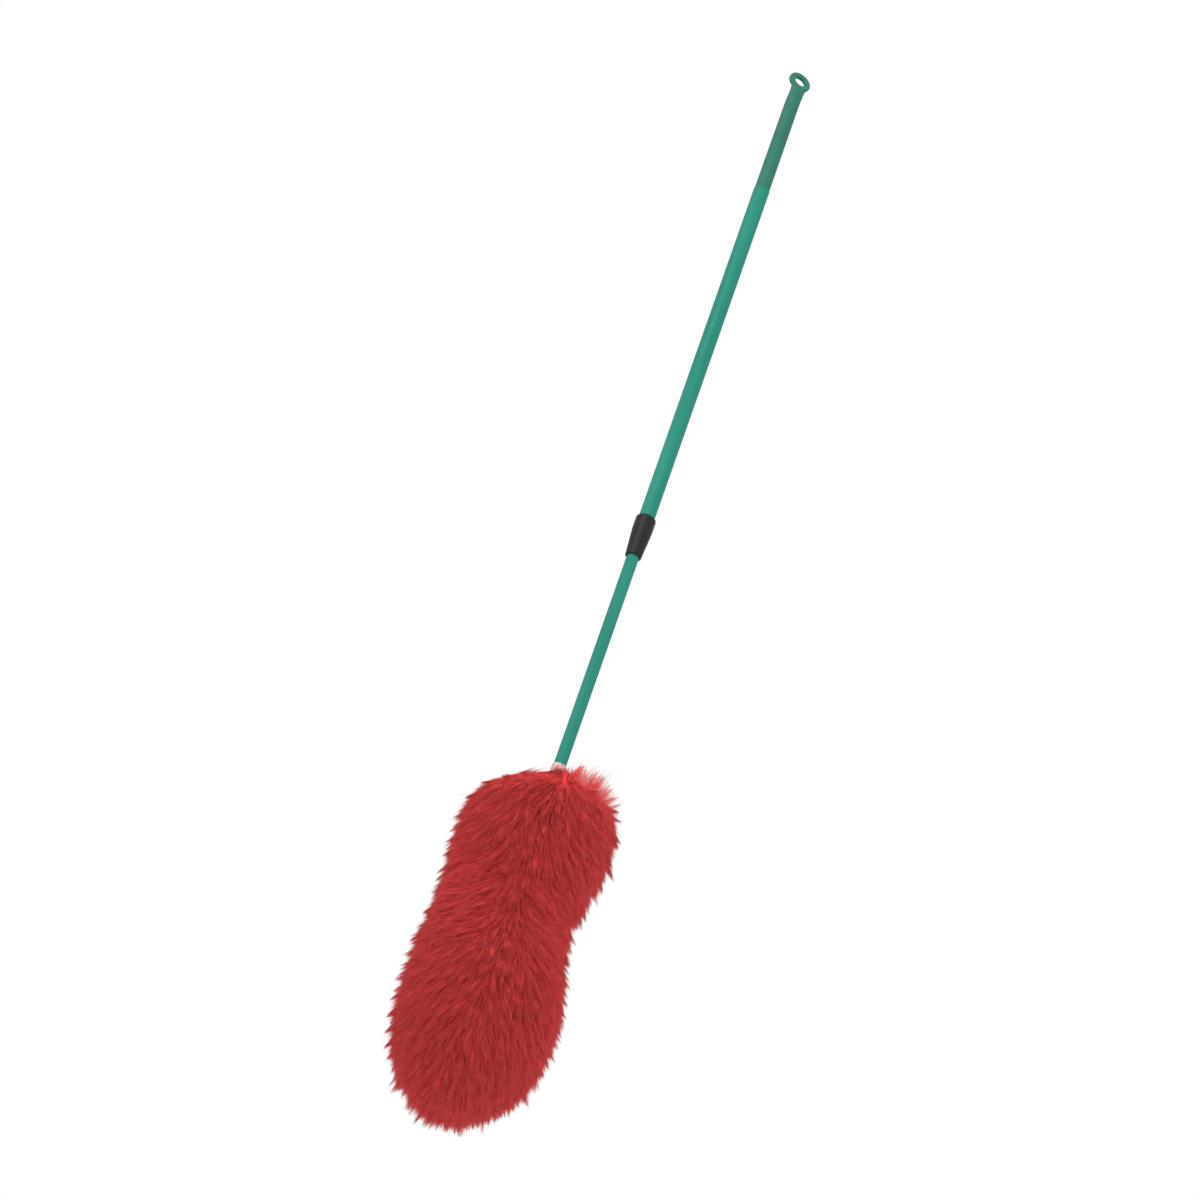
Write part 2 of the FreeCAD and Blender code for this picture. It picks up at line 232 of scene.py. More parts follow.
@dataclass(frozen=True)
class SteelFinish:
    """Cold-drawn or zinc-plated steel, with fine lines along or round the piece."""

    name: str
    colour: str
    shade: str
    roughness: float
    line_mm: float
    grain: Grain
    line_depth_mm: float = 0.02
    duller: float = 0.12
    glossier: float = 0.08

    def material(self) -> bpy.types.Material:
        """Build the material.

        Returns:
            A metal whose drawn lines show in colour, gloss and bump.
        """
        material, shader = start_material(self.name, {"Metallic": 1.0})
        place = add_node(material, "ShaderNodeTexCoord").outputs["Object"]
        drawn = add_node(
            material, "ShaderNodeMapping", inputs={"Vector": place, "Scale": self.grain.value}
        ).outputs["Vector"]
        lines = add_node(
            material,
            "ShaderNodeTexNoise",
            inputs={"Vector": drawn, "Scale": per_metre(self.line_mm), "Detail": 5.0},
        ).outputs["Fac"]
        colour = add_node(material, "ShaderNodeValToRGB", inputs={"Fac": lines})
        ramp_stops(colour, [(0.35, self.shade), (0.65, self.colour)])
        gloss = add_node(
            material,
            "ShaderNodeMapRange",
            inputs={
                "Value": lines,
                "To Min": self.roughness - self.glossier,
                "To Max": self.roughness + self.duller,
            },
        ).outputs["Result"]
        bump = add_node(
            material,
            "ShaderNodeBump",
            inputs={"Height": lines, "Distance": self.line_depth_mm * MM, "Strength": 0.4},
        ).outputs["Normal"]
        feed(material, shader, Base_Color=colour.outputs["Color"], Roughness=gloss, Normal=bump)
        return material


@dataclass(frozen=True)
class HideFinish:
    """Chrome-tanned sheepskin, suede side out: matt, with a pebbled grain."""

    name: str = "chrome_tanned_sheepskin"
    colour: str = "E3C7B4"
    shade: str = "C59C8A"
    grain_mm: float = 1.4
    grain_depth_mm: float = 0.15

    def material(self) -> bpy.types.Material:
        """Build the material.

        Returns:
            A matt leather with cell-like grain.
        """
        values = {"Roughness": 0.85, "Sheen Weight": 0.3, "Sheen Roughness": 0.5}
        material, shader = start_material(self.name, values)
        place = add_node(material, "ShaderNodeTexCoord").outputs["Object"]
        cells = add_node(
            material,
            "ShaderNodeTexVoronoi",
            inputs={"Vector": place, "Scale": per_metre(self.grain_mm)},
        ).outputs["Distance"]
        colour = add_node(material, "ShaderNodeValToRGB", inputs={"Fac": cells})
        ramp_stops(colour, [(0.1, self.colour), (0.8, self.shade)])
        bump = add_node(
            material,
            "ShaderNodeBump",
            inputs={"Height": cells, "Distance": self.grain_depth_mm * MM, "Strength": 0.5},
        ).outputs["Normal"]
        feed(material, shader, Base_Color=colour.outputs["Color"], Normal=bump)
        return material


@dataclass(frozen=True)
class CottonYarnFinish:
    """Twisted cotton yarn, undyed but blushed pink by the fleece dye."""

    name: str = "cotton_whipping_yarn"
    colour: str = "EAD2CE"
    shade: str = "C98F8C"
    blush_mm: float = 4.0
    ply_mm: float = 0.6
    ply_depth_mm: float = 0.1

    def material(self) -> bpy.types.Material:
        """Build the material.

        Returns:
            A matt fibre with slanting plies and blotches of taken-up dye.
        """
        values = {"Roughness": 0.9, "Sheen Weight": 0.5, "Sheen Roughness": 0.4}
        material, shader = start_material(self.name, values)
        place = add_node(material, "ShaderNodeTexCoord").outputs["Object"]
        blush = add_node(
            material,
            "ShaderNodeTexNoise",
            inputs={"Vector": place, "Scale": per_metre(self.blush_mm), "Detail": 3.0},
        ).outputs["Fac"]
        colour = add_node(material, "ShaderNodeValToRGB", inputs={"Fac": blush})
        ramp_stops(colour, [(0.35, self.shade), (0.6, self.colour)])
        plies = add_node(
            material,
            "ShaderNodeTexWave",
            settings={"bands_direction": "DIAGONAL"},
            inputs={
                "Vector": place,
                "Scale": per_metre(self.ply_mm) * DIAGONAL_WAVE,
                "Distortion": 1.0,
            },
        ).outputs["Fac"]
        bump = add_node(
            material,
            "ShaderNodeBump",
            inputs={"Height": plies, "Distance": self.ply_depth_mm * MM, "Strength": 0.6},
        ).outputs["Normal"]
        feed(material, shader, Base_Color=colour.outputs["Color"], Normal=bump)
        return material


STRAND_MAP = "OFBake"  # one map: across it the dye's tone, up it the way from root to tip


@dataclass(frozen=True)
class DyedWoolFinish:
    """Carded lambswool dyed red: matt fibre, darker towards the root as painted shade deep in the
    pile, and paler at the tips as painted light through thin wool.
    """

    name: str = "dyed_lambswool"
    tones: tuple[tuple[float, str], ...] = (
        (0.0, "D8474B"),
        (0.45, "F2494D"),
        (0.8, "FC5A5B"),
        # Painted light: only the ruffles' painted light brings strands up to this pale stop.
        (1.0, "F0C6C2"),
    )
    # Painted shade deep in the pile: the colour each strand turns to towards its root.
    root: str = "E0484C"
    # Painted light: the paler colour at each strand's tip, as if lit through the thin wool.
    tip: str = "F0706D"

    def material(self) -> bpy.types.Material:
        """Build the material.

        Returns:
            A fibre that takes its tone from the strand map, and along the strand painted shade
            towards the root and painted light at the tip.
        """
        values = {
            "Roughness": 0.85,
            "IOR": 1.45,
            "Specular IOR Level": 0.12,
            "Sheen Weight": 0.2,
            "Sheen Roughness": 0.5,
            "Sheen Tint": linear("E04A4C"),
        }
        material, shader = start_material(self.name, values)
        strand = add_node(material, "ShaderNodeUVMap", settings={"uv_map": STRAND_MAP})
        split = add_node(
            material, "ShaderNodeSeparateXYZ", inputs={"Vector": strand.outputs["UV"]}
        )
        tone = add_node(material, "ShaderNodeValToRGB", inputs={"Fac": split.outputs["X"]})
        ramp_stops(tone, list(self.tones))
        # Painted shade: towards the root the strand turns to the root colour.
        depth = add_node(
            material,
            "ShaderNodeMapRange",
            inputs={"Value": split.outputs["Y"], "From Min": 0.05, "From Max": 0.6},
        ).outputs["Result"]
        shaded = add_node(
            material,
            "ShaderNodeMix",
            settings={"data_type": "RGBA", "blend_type": "MIX"},
            inputs={"Factor": depth, 6: linear(self.root), 7: tone.outputs["Color"]},
        ).outputs[2]
        # Painted light: the last part of each strand turns paler towards the tip.
        end = add_node(
            material,
            "ShaderNodeMapRange",
            inputs={
                "Value": split.outputs["Y"],
                "From Min": 0.7,
                "From Max": 1.0,
                "To Max": 0.5,
            },
        ).outputs["Result"]
        tip_lit = add_node(
            material,
            "ShaderNodeMix",
            settings={"data_type": "RGBA", "blend_type": "MIX"},
            inputs={"Factor": end, 6: shaded, 7: linear(self.tip)},
        ).outputs[2]
        feed(material, shader, Base_Color=tip_lit)
        return material


@dataclass(frozen=True)
class PileBedFinish:
    """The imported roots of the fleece, seen between the locks as a matt red."""

    name: str = "fleece_roots"
    colour: str = "F0464A"
    shade: str = "DC3C40"
    tuft_mm: float = 6.0
    tuft_depth_mm: float = 2.0
    stretch: tuple[float, float, float] = (1.0, 1.0, 0.3)

    def material(self) -> bpy.types.Material:
        """Build the material.

        Returns:
            A red with soft blotches and a rough, furry bump.
        """
        values = {"Roughness": 0.95, "Sheen Weight": 0.4, "Sheen Roughness": 0.5}
        material, shader = start_material(self.name, values)
        place = add_node(material, "ShaderNodeTexCoord").outputs["Object"]
        drawn = add_node(
            material,
            "ShaderNodeMapping",
            inputs={"Vector": place, "Scale": self.stretch},
        ).outputs["Vector"]
        tufts = add_node(
            material,
            "ShaderNodeTexNoise",
            inputs={"Vector": drawn, "Scale": per_metre(self.tuft_mm), "Detail": 6.0},
        ).outputs["Fac"]
        colour = add_node(material, "ShaderNodeValToRGB", inputs={"Fac": tufts})
        ramp_stops(colour, [(NOISE_LOW, self.shade), (NOISE_HIGH, self.colour)])
        bump = add_node(
            material,
            "ShaderNodeBump",
            inputs={"Height": tufts, "Distance": self.tuft_depth_mm * MM, "Strength": 0.8},
        ).outputs["Normal"]
        feed(material, shader, Base_Color=colour.outputs["Color"], Normal=bump)
        return material


# ---- shared making -------------------------------------------------------------------


def dress_node(node: str, material: bpy.types.Material) -> None:
    """Give a CAD node its finish and report it.

    Args:
        node: the node's name.
        material: its finish.
    """
    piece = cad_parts[node]
    for slot in piece.material_slots:
        slot.material = material
    LOG.info("dressed %s in %s", node, material.name)


def finish_piece(
    name: str,
    bm: bmesh.types.BMesh,
    material: bpy.types.Material,
    replaced: str,
) -> bpy.types.Object:
    """Turn a bmesh into a piece of the head.

    Args:
        name: the piece's name.
        bm: the finished shape, which is freed.
        material: its finish.
        replaced: the CAD node that it stands for.

    Returns:
        The new object.
    """
    mesh = bpy.data.meshes.new(name)
    bm.to_mesh(mesh)
    bm.free()
    for polygon in mesh.polygons:
        polygon.use_smooth = True
    mesh.materials.append(material)
    piece = bpy.data.objects.new(name, mesh)
    bpy.context.scene.collection.objects.link(piece)
    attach(piece, HEAD_BODY)
    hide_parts(replaced)
    LOG.info("made %s with %d faces", name, len(mesh.polygons))
    return piece


# ---- pole ----------------------------------------------------------------------------


@dataclass
class Handle:
    """Hang cap, outer tube with its coat, and the black end collar."""

    cap: PlasticFinish = PlasticFinish(
        # Injection-moulded polypropylene: satin, with the faint tooth of a spark-eroded mould. Its
        # darker, greyer green than the coat's is painted shade, as the light falls off along the
        # pole.
        name="moulded_polypropylene_shaded_green",
        colour="296C5D",
        shade="246354",
        roughness=0.6,
        mottle_mm=30.0,
        texture_mm=0.6,
        texture_depth_mm=0.02,
        specular=0.25,
    )
    coat: PlasticFinish = PlasticFinish(
        # Shrunk-on PVC: satin, with a soft orange peel drawn out along the tube.
        name="pvc_tube_coat_green",
        colour="15806E",
        shade="127463",
        roughness=0.62,
        mottle_mm=6.0,
        texture_mm=1.6,
        texture_depth_mm=0.02,
        grain=Grain.ALONG_POLE,
        ior=1.53,
        specular=0.25,
    )
    collar: PlasticFinish = PlasticFinish(
        # Moulded nylon: near black, satin, and polished a little by the hand.
        name="moulded_nylon_black",
        colour="131312",
        shade="0F0F0E",
        roughness=0.52,
        mottle_mm=9.0,
        texture_mm=0.5,
        texture_depth_mm=0.015,
        ior=1.53,
        specular=0.25,
    )

    def build(self, steel: bpy.types.Material) -> bpy.types.Material:
        """Dress the handle's nodes.

        Args:
            steel: the finish of the bare tube.

        Returns:
            The green coat, which the inner tube also wears.
        """
        coat = self.coat.material()
        dress_node("hang_cap", self.cap.material())
        dress_node("outer_tube", steel)
        dress_node("outer_tube_skin", coat)
        dress_node("lock_collar", self.collar.material())
        return coat


@dataclass
class TwistLock:
    """Expander sleeve, cone nut, plug and stop screw inside the outer tube."""

    nylon: PlasticFinish = PlasticFinish(
        # Natural nylon: creamy and a little waxy.
        name="natural_nylon",
        colour="EAE4D2",
        shade="DDD5BF",
        roughness=0.42,
        mottle_mm=8.0,
        texture_mm=0.7,
        texture_depth_mm=0.02,
        ior=1.53,
    )
    plug: PlasticFinish = PlasticFinish(
        # Glass-filled nylon: dark grey, with a dull, slightly streaked skin.
        name="glass_filled_nylon",
        colour="3B3E40",
        shade="2D3032",
        roughness=0.6,
        mottle_mm=3.0,
        texture_mm=0.5,
        texture_depth_mm=0.03,
        grain=Grain.ALONG_POLE,
    )

    def build(self, zinc: bpy.types.Material) -> None:
        """Dress the lock's nodes.

        Args:
            zinc: the finish of plated screws.
        """
        nylon = self.nylon.material()
        dress_node("expander_sleeve", nylon)
        dress_node("cone_nut", nylon)
        dress_node("lock_plug", self.plug.material())
        dress_node("stop_screw", zinc)


@dataclass
class InnerPole:
    """Inner tube with its coat, down to the head's socket."""

    def build(self, steel: bpy.types.Material, coat: bpy.types.Material) -> None:
        """Dress the tube in bare steel and its green coat."""
        dress_node("inner_tube", steel)
        dress_node("inner_tube_skin", coat)


# ---- head ----------------------------------------------------------------------------


@dataclass
class HeadCore:
    """Everything inside the fleece: core tube, socket, plug, fixings and hide."""

    plastic: PlasticFinish = PlasticFinish(
        # Extruded polypropylene: off-white, with faint lines along its length.
        name="extruded_polypropylene_white",
        colour="DEDCD4",
        shade="CFCCC2",
        roughness=0.5,
        mottle_mm=4.0,
        texture_mm=0.8,
        texture_depth_mm=0.03,
        grain=Grain.ALONG_POLE,
    )
    hide: HideFinish = HideFinish()

    def build(self, zinc: bpy.types.Material) -> None:
        """Dress the core's nodes.

        Args:
            zinc: the finish of plated fixings.
        """
        plastic = self.plastic.material()
        hide = self.hide.material()
        for node in ("core_socket", "core_tube", "tip_plug"):
            dress_node(node, plastic)
        for node in ("hide_sleeve", "tip_disc"):
            dress_node(node, hide)
        for node in ("socket_rivet", "tip_washer", "tip_screw"):
            dress_node(node, zinc)


@dataclass
class NeckWhipping:
    """Yarn wound close round the gathered neck of the hide."""

    turns: int = 9
    steps_a_turn: int = 30
    yarn_sides: int = 8
    yarn_r_share: float = 0.54  # of the pitch, so that the turns press together
    finish: CottonYarnFinish = CottonYarnFinish()

    def build(self) -> bpy.types.Object:
        """Wind the yarn as a spun circle that climbs one thickness a turn.

        Returns:
            The whipping, which stands for the plain binding ring.
        """
        low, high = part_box("neck_binding")
        pitch = (high.z - low.z) / (self.turns + 1)
        yarn_r = pitch * self.yarn_r_share
        wind_r = high.x - yarn_r
        bm = bmesh.new()
        start = Matrix.Translation((wind_r, 0, low.z + pitch / 2)) @ Matrix.Rotation(
            math.radians(90), 4, "X"
        )
        bmesh.ops.create_circle(
            bm, cap_ends=True, segments=self.yarn_sides, radius=yarn_r, matrix=start
        )
        bmesh.ops.spin(
            bm,
            geom=list(bm.verts) + list(bm.edges) + list(bm.faces),
            axis=(0, 0, 1),
            dvec=(0, 0, pitch / self.steps_a_turn),
            angle=math.tau * self.turns,
            steps=self.turns * self.steps_a_turn,
        )
        bmesh.ops.recalc_face_normals(bm, faces=bm.faces)
        return finish_piece(
            "neck_whipping", bm, self.finish.material(), "neck_binding"
        )


@dataclass
class FleeceSkin:
    """Smooth outer shape of the fleece, found from its soft CAD solid."""

    rings: int = 72
    segments: int = 64
    smoothings: int = 6
    ends_within: float = 0.998  # of the solid's half height, so that every ray meets it
    points: np.ndarray = field(init=False)
    normals: np.ndarray = field(init=False)
    triangles: np.ndarray = field(init=False)
    areas: np.ndarray = field(init=False)

    def shape(self) -> bmesh.types.BMesh:
        """Draw a closed ball out over the soft solid.

        Returns:
            A bmesh of the fleece's outside, lightly smoothed all over.
        """
        low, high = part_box("wool_pile")
        centre = (low + high) / 2
        half = (high - low) / 2
        tree = bpy.context.evaluated_depsgraph_get()
        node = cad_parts["wool_pile"].evaluated_get(tree)
        reach = max(half.x, half.y) * 2
        bm = bmesh.new()
        bmesh.ops.create_uvsphere(bm, u_segments=self.segments, v_segments=self.rings, radius=1.0)
        for vert in bm.verts:
            height = centre.z + half.z * self.ends_within * vert.co.z
            middle = Vector((centre.x, centre.y, height))
            out = Vector((vert.co.x, vert.co.y, 0))
            if out.length < TINY:
                vert.co = middle
                continue
            out.normalize()
            hit, place, _, _ = node.ray_cast(middle + out * reach, -out)
            vert.co = place if hit else middle
        for _ in range(self.smoothings):
            bmesh.ops.smooth_vert(
                bm, verts=bm.verts, factor=0.5, use_axis_x=True, use_axis_y=True, use_axis_z=True
            )
        return bm

    def measure(self) -> None:
        """Store the skin's triangles, their areas and its smooth normals."""
        bm = self.shape()
        bm.verts.index_update()
        self.points = np.array([v.co for v in bm.verts])
        self.triangles = sorted_triangles(bm)
        bm.free()
        a, b, c = (self.points[self.triangles[:, corner]] for corner in range(3))
        facing = np.cross(b - a, c - a)
        self.areas = np.linalg.norm(facing, axis=1) / 2
        self.normals = np.zeros_like(self.points)
        for corner in range(3):
            np.add.at(self.normals, self.triangles[:, corner], facing)
        self.normals = unit(self.normals)

    def scatter(self, count: int, rng: np.random.Generator) -> tuple[np.ndarray, np.ndarray]:
        """Pick random places evenly over the skin.

        Args:
            count: how many places.
            rng: seeded random source.

        Returns:
            The places and the outward normals there.
        """
        chosen = rng.choice(len(self.areas), size=count, p=self.areas / self.areas.sum())
        weights = rng.dirichlet((1.0, 1.0, 1.0), size=count)
        corners = self.triangles[chosen]
        places = np.einsum("ij,ijk->ik", weights, self.points[corners])
        normals = np.einsum("ij,ijk->ik", weights, self.normals[corners])
        return places, unit(normals)


def sorted_triangles(bm: bmesh.types.BMesh) -> np.ndarray:
    """Split faces into triangles, in an order that doesn't depend on how they are stored.

    Args:
        bm: a closed surface whose vertices are numbered.

    Returns:
        Three vertex numbers a row, each row from its lowest number and the rows sorted.
    """
    triangles = []
    for face in bm.faces:
        ring = [vert.index for vert in face.verts]
        first = ring.index(min(ring))
        ring = ring[first:] + ring[:first]
        triangles += [(ring[0], ring[i], ring[i + 1]) for i in range(1, len(ring) - 1)]
    return np.array(sorted(triangles))


def unit(vectors: np.ndarray) -> np.ndarray:
    """Return the vectors at length one."""
    return vectors / np.maximum(np.linalg.norm(vectors, axis=-1, keepdims=True), 1e-9)


def combed(normals: np.ndarray) -> np.ndarray:
    """Find which way the pile is combed: along the skin, towards the tip of the head.

    Args:
        normals: outward normals of the skin.

    Returns:
        Tangents, which turn straight down where the skin itself faces the tip.
    """
    along = DOWN - normals * (normals @ DOWN)[:, None]
    level = np.clip(1.0 + normals[:, 2:3], 0.0, 1.0)
    return unit(along) * level + DOWN * (1.0 - level)


def nearest_of(places: np.ndarray, bunches: np.ndarray) -> np.ndarray:
    """Find the nearest bunch to each place.

    Args:
        places: points in metres.
        bunches: the bunches' own places.

    Returns:
        The number of each place's bunch.
    """
    tree = KDTree(len(bunches))
    for index, place in enumerate(bunches):
        tree.insert(place, index)
    tree.balance()
    return np.array([tree.find(place)[1] for place in places])


def soft_noise(places: np.ndarray, size_mm: float, seed: float) -> np.ndarray:
    """Give each place a smooth random vector.

    Args:
        places: points in metres.
        size_mm: how far apart the noise changes.
        seed: shift that makes this noise differ from others.

    Returns:
        One vector a place, each part from about -1 to 1.
    """
    scale = per_metre(size_mm)
    return np.array([noise.noise_vector(Vector(p) * scale + Vector((seed, 0, 0))) for p in places])


@dataclass(frozen=True)
class Ruffle:
    """A patch of fleece brushed the wrong way, so that it stands up and is coarser, with a paler
    tone that is painted light.

    Its lift turns the strands upwards, and its extra length stands their tips further out. Its
    painted light pales their tone where the light from above catches the fleece.
    """

    side_mm: float
    front_mm: float
    below_neck_mm: float
    radius_mm: float
    lift: float
    extra_mm: float
    painted_light: float

    def weight(self, places: np.ndarray, neck_z: float) -> np.ndarray:
        """Find how much of the ruffle each place has.

        Args:
            places: points on the skin, in metres.
            neck_z: height of the neck.

        Returns:
            One column from 0 to 1.
        """
        middle = np.array([self.side_mm, -self.front_mm, -self.below_neck_mm]) * MM
        middle[2] += neck_z
        away = np.linalg.norm(places - middle, axis=1, keepdims=True) / (self.radius_mm * MM)
        return np.exp(-(away**2))


@dataclass
class FleecePile:
    """The fleece: thousands of tapered strands that leave the hide slanting.

    A strand is drawn coarser than wool fibre, so that it shows: it stands for a wisp of many.
    Most strands lean a little towards their lock's tip, and the tufted share of them are
    drawn hard towards their tuft's. Spreads are one standard deviation of a normal draw.
    """

    skin: FleeceSkin
    seed: int = 7
    bands: int = 9
    strands_a_band: int = 16200
    tuft_count: int = 1000
    lock_count: int = 13000
    bed_depth_mm: float = 15.0
    # A strand's size, and how far one differs from another.
    strand_mm: float = 66.0
    strand_r_mm: float = 0.34
    length_range: tuple[float, float] = (0.85, 1.15)
    thickness_range: tuple[float, float] = (0.6, 1.2)
    # Which way it heads: out of the skin, down it, and away from the parting.
    outward: float = 0.3
    downward: float = 0.72
    flatter_crown: float = 0.5
    root_slant: float = 0.5
    parted: float = 0.42
    parting_softness: float = 0.3
    parting_turn: float = -20.0
    drifts: tuple[tuple[float, float, float], ...] = (
        # How far apart the lie of the wool wanders, in millimetres, its seed and its strength.
        (75.0, 11.0, 0.25),
        (22.0, 31.0, 0.14),
    )
    jitter_mm: float = 1.2
    # How far tips stand beyond the skin, and how hard strands are drawn together.
    strand_rise_mm: float = -3.0
    strand_spread_mm: float = 4.0
    tuft_rise_mm: float = 6.5
    tuft_spread_mm: float = 3.0
    tufted_share: float = 0.24
    tuft_pull: float = 0.8
    lock_pull: float = 0.2
    pull_spread: float = 0.12
    pull_limits: tuple[float, float] = (0.05, 0.95)
    body_pull: float = 0.1
    # The dye's tone, from 0 for deep to 1 for pale; tones past the palest come only from the
    # ruffles' painted light.
    tone: float = 0.42
    tuft_tone_spread: float = 0.06
    lock_tone_spread: float = 0.13
    strand_tone_spread: float = 0.07
    palest_tone: float = 0.76
    ruffle_range: tuple[float, float] = (0.4, 1.3)
    ruffle_coarser: float = 0.35
    # The hide that the strands grow from: radius, gathered radius, and height between them.
    core_r_mm: float = 15.0
    neck_r_mm: float = 8.0
    shoulder_mm: float = 14.0
    # Each ruffle's last value is painted light, added to its strands' tone.
    ruffles: tuple[Ruffle, ...] = (
        Ruffle(34.0, 27.0, below_neck_mm=12.0, radius_mm=26.0, lift=2.2, extra_mm=23.0, painted_light=0.9),
        Ruffle(55.0, 30.0, below_neck_mm=28.0, radius_mm=13.0, lift=0.4, extra_mm=7.0, painted_light=0.5),
        Ruffle(0.0, 0.0, below_neck_mm=10.0, radius_mm=24.0, lift=0.25, extra_mm=6.0, painted_light=0.0),
        Ruffle(-68.0, -2.0, below_neck_mm=58.0, radius_mm=24.0, lift=0.25, extra_mm=4.0, painted_light=0.1),
    )
    # A straight strand's rings, for a length and a radius of one.
    ring_heights: tuple[float, ...] = (0.0, 0.45, 0.8, 1.0)
    ring_sizes: tuple[float, ...] = (0.0, 1.0, 0.75, 0.0)
    map_width: float = 0.004  # of one strand on the strand map
    map_margin: float = 0.02
    lump_mm: float = 9.0
    lump_height_mm: float = 2.0
    finish: DyedWoolFinish = DyedWoolFinish()
    bed_finish: PileBedFinish = PileBedFinish()

    def strand(self) -> bpy.types.Mesh:
        """Make one straight strand, three-sided and closed to a point at both ends.

        Returns:
            A mesh that runs from 0 to 1 up Z, with its strand map.
        """
        bm = bmesh.new()
        bmesh.ops.create_circle(bm, segments=3, radius=1.0)
        edges = list(bm.edges)
        rings = [list(bm.verts)]
        for _ in self.ring_heights[1:]:
            grown = bmesh.ops.extrude_edge_only(bm, edges=edges)["geom"]
            edges = [g for g in grown if isinstance(g, bmesh.types.BMEdge)]
            rings.append([g for g in grown if isinstance(g, bmesh.types.BMVert)])
        for ring, height, size in zip(rings, self.ring_heights, self.ring_sizes, strict=True):
            bmesh.ops.scale(bm, verts=ring, vec=(size, size, 1.0))
            bmesh.ops.translate(bm, verts=ring, vec=(0, 0, height))
        bmesh.ops.remove_doubles(bm, verts=bm.verts, dist=TINY)
        bmesh.ops.recalc_face_normals(bm, faces=bm.faces)
        layer = bm.loops.layers.uv.new(STRAND_MAP)
        for face in bm.faces:
            for loop in face.loops:
                loop[layer].uv = (loop.vert.co.x * self.map_width, loop.vert.co.z)
        mesh = bpy.data.meshes.new("strand")
        bm.to_mesh(mesh)
        bm.free()
        return mesh

    def lay(
        self,
        places: np.ndarray,
        normals: np.ndarray,
        rise_mm: float,
        spread_mm: float,
        rng: np.random.Generator,
    ) -> tuple[np.ndarray, np.ndarray]:
        """Comb free strands out of the skin, away from a parting down the front and the back.

        Args:
            places: points on the skin.
            normals: outward normals there.
            rise_mm: how far the tips stand beyond the skin.
            spread_mm: how unevenly they do.
            rng: seeded random source.

        Returns:
            Each strand's heading and its tip.
        """
        turn = math.radians(self.parting_turn)
        across = np.array([math.cos(turn), math.sin(turn), 0.0])
        sideways = (normals @ across)[:, None]
        parting = sideways / (np.abs(sideways) + self.parting_softness) * across
        flatter = 1.0 - self.flatter_crown * np.clip(normals[:, 2:3], 0.0, 1.0)
        drift = sum(
            soft_noise(places, size_mm, seed) * strength for size_mm, seed, strength in self.drifts
        )
        heading = normals * self.outward * flatter + combed(normals) * self.downward
        heading += parting * self.parted + drift
        extra = np.zeros((len(places), 1))
        for ruffle in self.ruffles:
            weight = ruffle.weight(places, self.neck_z())
            heading -= DOWN * weight * ruffle.lift
            uneven = rng.uniform(*self.ruffle_range, (len(places), 1))
            extra += weight * ruffle.extra_mm * uneven
        heading = unit(heading)
        proud = rise_mm + rng.normal(0.0, spread_mm, (len(places), 1)) + extra
        return heading, places + heading * (proud * MM)

    def neck_z(self) -> float:
        """Return the height of the neck."""
        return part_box("hide_sleeve")[1].z

    def rooted(self, root: np.ndarray) -> np.ndarray:
        """Keep roots on the hide: below its tie, and no nearer the pole than its radius.

        Args:
            root: where the strands would start.

        Returns:
            Where they do.
        """
        tie_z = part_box("neck_binding")[0].z
        root[:, 2] = np.minimum(root[:, 2], tie_z)
        below = np.clip((tie_z - root[:, 2:3]) / (self.shoulder_mm * MM), 0.0, 1.0)
        hide_r = (self.neck_r_mm + (self.core_r_mm - self.neck_r_mm) * below) * MM
        axial = np.linalg.norm(root[:, :2], axis=1, keepdims=True)
        root[:, :2] *= np.maximum(1.0, hide_r / axial)
        return root

    def paths(self, rng: np.random.Generator) -> dict[str, np.ndarray]:
        """Work out every strand's path and tone.

        Args:
            rng: seeded random source.

        Returns:
            Control points of each strand's curve, its thickness and its tone, from the
            neck down to the tip.
        """
        tuft_places, tuft_normals = self.skin.scatter(self.tuft_count, rng)
        _, tuft_tips = self.lay(
            tuft_places, tuft_normals, self.tuft_rise_mm, self.tuft_spread_mm, rng
        )
        lock_places, lock_normals = self.skin.scatter(self.lock_count, rng)
        _, lock_tips = self.lay(
            lock_places, lock_normals, self.strand_rise_mm, self.strand_spread_mm, rng
        )
        tuft_of = nearest_of(lock_places, tuft_places)
        tuft_tone = rng.normal(0.0, self.tuft_tone_spread, self.tuft_count)
        lock_tone = self.tone + tuft_tone[tuft_of]
        lock_tone += rng.normal(0.0, self.lock_tone_spread, self.lock_count)

        count = self.bands * self.strands_a_band
        places, normals = self.skin.scatter(count, rng)
        order = np.argsort(-places[:, 2])
        places, normals = places[order], normals[order]
        heading, tips = self.lay(
            places, normals, self.strand_rise_mm, self.strand_spread_mm, rng
        )
        nearest = nearest_of(places, lock_places)
        tufted = rng.random((count, 1)) < self.tufted_share
        goal = np.where(tufted, tuft_tips[tuft_of[nearest]], lock_tips[nearest])
        pull = rng.normal(np.where(tufted, self.tuft_pull, self.lock_pull), self.pull_spread)
        drawn = tips + (goal - tips) * np.clip(pull, *self.pull_limits)
        length = self.strand_mm * MM * rng.uniform(*self.length_range, (count, 1))
        neck = np.array([0.0, 0.0, self.neck_z()])
        length = np.minimum(length, np.linalg.norm(places - neck, axis=1, keepdims=True))
        half = tips - heading * length / 2
        middle = half + (drawn - tips) * self.body_pull
        middle += rng.normal(0.0, self.jitter_mm * MM, (count, 3))
        middle[:, 2] = np.minimum(middle[:, 2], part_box("neck_binding")[0].z)
        root = self.rooted(half - unit(heading + normals * self.root_slant) * length / 2)
        tone = lock_tone[nearest] + rng.normal(0.0, self.strand_tone_spread, count)
        tone = np.clip(tone, 0.0, self.palest_tone)
        thickness = self.strand_r_mm * MM * rng.uniform(*self.thickness_range, count)
        for ruffle in self.ruffles:
            raised = ruffle.weight(places, self.neck_z())[:, 0]
